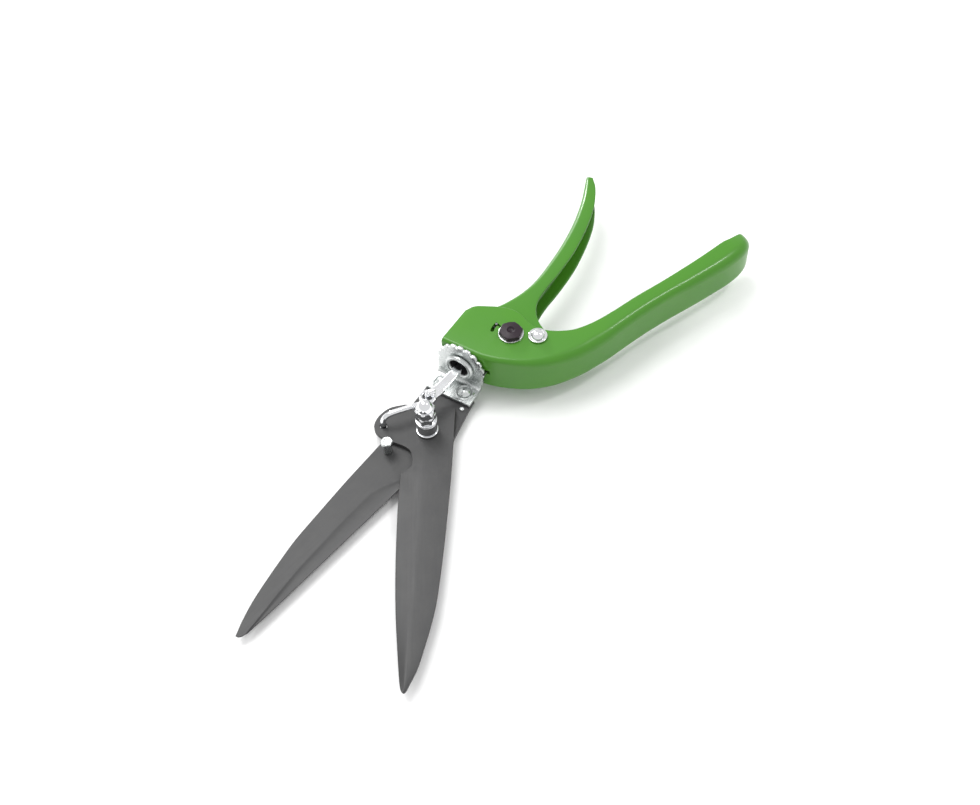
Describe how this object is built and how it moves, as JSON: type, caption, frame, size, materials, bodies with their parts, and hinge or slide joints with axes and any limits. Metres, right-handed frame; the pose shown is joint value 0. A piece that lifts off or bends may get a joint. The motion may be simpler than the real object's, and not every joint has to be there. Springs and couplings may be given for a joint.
{
  "type": "grass shears",
  "caption": "One-hand grass shears: pressed green handles, a blade head that swivels on a scalloped index disc, and two long blades closed by a pull rod and link.",
  "frame": {"origin": "on the fixed handle's lower cheek, 15 mm behind the index disc's seat and straight below the swivel axis", "axes": "+X along the swivel axis towards the blade tips, +Y towards the fixed handle's spine, +Z out of the upper cheek"},
  "size_m": [0.306, 0.1152, 0.0334],
  "materials": {
    "green_enamel": "semi-gloss baked enamel on pressed steel",
    "lever_enamel": "semi-gloss baked enamel on pressed steel, a little darker",
    "zinc_plate": "bright zinc plate, satin",
    "bright_chrome": "bright plated",
    "spring_steel": "bare spring steel",
    "blade_steel": "dark satin hardened steel",
    "black_oxide": "black oxide",
    "dark_nylon": "moulded nylon"
  },
  "bodies": {
    "fixed_handle_body": {"fixed_handle": "green_enamel", "handle_rivet": "bright_chrome", "rivet_washer_upper": "bright_chrome", "rivet_washer_lower": "bright_chrome", "cheek_washer_upper": "spring_steel", "cheek_washer_lower": "spring_steel", "pivot_bush": "zinc_plate", "return_spring": "spring_steel", "index_pawl": "spring_steel", "knob_washer": "zinc_plate"},
    "moving_handle_body": {"moving_handle": "lever_enamel", "rod_pin": "zinc_plate", "grip_end_plug": "dark_nylon"},
    "lock_body": {"lock_knob": "black_oxide", "lock_catch": "spring_steel"},
    "yoke_body": {"rod_yoke": "spring_steel"},
    "swivel_head": {"index_bracket": "zinc_plate", "foot_rivet": "zinc_plate", "foot_rivet_far": "zinc_plate", "swivel_tube": "zinc_plate", "swivel_washer": "spring_steel", "tube_clip": "spring_steel", "lower_blade": "blade_steel", "tang_dowel": "zinc_plate", "pivot_bolt": "zinc_plate", "blade_washer": "bright_chrome", "brake_collar": "bright_chrome", "nut_washer": "bright_chrome", "lock_nut": "bright_chrome", "cap_nut": "bright_chrome", "stop_bolt": "zinc_plate", "stop_sleeve": "zinc_plate", "stop_nut": "zinc_plate"},
    "rod_body": {"pull_rod": "zinc_plate"},
    "upper_blade_body": {"upper_blade": "blade_steel"},
    "link_body": {"link_wire": "bright_chrome"}
  },
  "joints": [
    {"name": "handle_squeeze", "type": "hinge", "parent": "fixed_handle_body", "child": "moving_handle_body", "pos_m": [-0.0109, 0.0284, 0.0112], "axis": [0, 0, -1], "range_deg": [0, 22.18], "stiffness_Nm_per_rad": 0.8, "springref_deg": -22.92, "deforming": ["return_spring"]},
    {"name": "knob_turn", "type": "hinge", "parent": "fixed_handle_body", "child": "lock_body", "pos_m": [-0.0061, 0.0162, 0.0112], "axis": [0, 0, 1], "range_deg": [0, 25]},
    {"name": "yoke_pull", "type": "slide", "parent": "fixed_handle_body", "child": "yoke_body", "axis": [-1, 0, 0], "range_m": [0, 0.0108]},
    {"name": "head_swivel", "type": "hinge", "parent": "fixed_handle_body", "child": "swivel_head", "pos_m": [0.015, 0, 0.0112], "axis": [1, 0, 0], "continuous": true, "deforming": ["index_pawl"]},
    {"name": "rod_pull", "type": "slide", "parent": "swivel_head", "child": "rod_body", "axis": [-1, 0, 0], "range_m": [0, 0.0108]},
    {"name": "blade_close", "type": "hinge", "parent": "swivel_head", "child": "upper_blade_body", "pos_m": [0.0493, 0.0016, 0.0112], "axis": [0, 0, -1], "range_deg": [0, 34.02]},
    {"name": "link_swing", "type": "hinge", "parent": "upper_blade_body", "child": "link_body", "pos_m": [0.0575, -0.0183, 0.0112], "axis": [0, 0, 1], "range_deg": [0, 27.85]}
  ],
  "couplings": [
    {"joint": "yoke_pull", "follows": "handle_squeeze", "m_per_rad": 0.027826},
    {"joint": "rod_pull", "follows": "handle_squeeze", "m_per_rad": 0.027826},
    {"joint": "blade_close", "follows": "handle_squeeze", "ratio": 1.5332},
    {"joint": "link_swing", "follows": "handle_squeeze", "ratio": 1.2536}
  ]
}
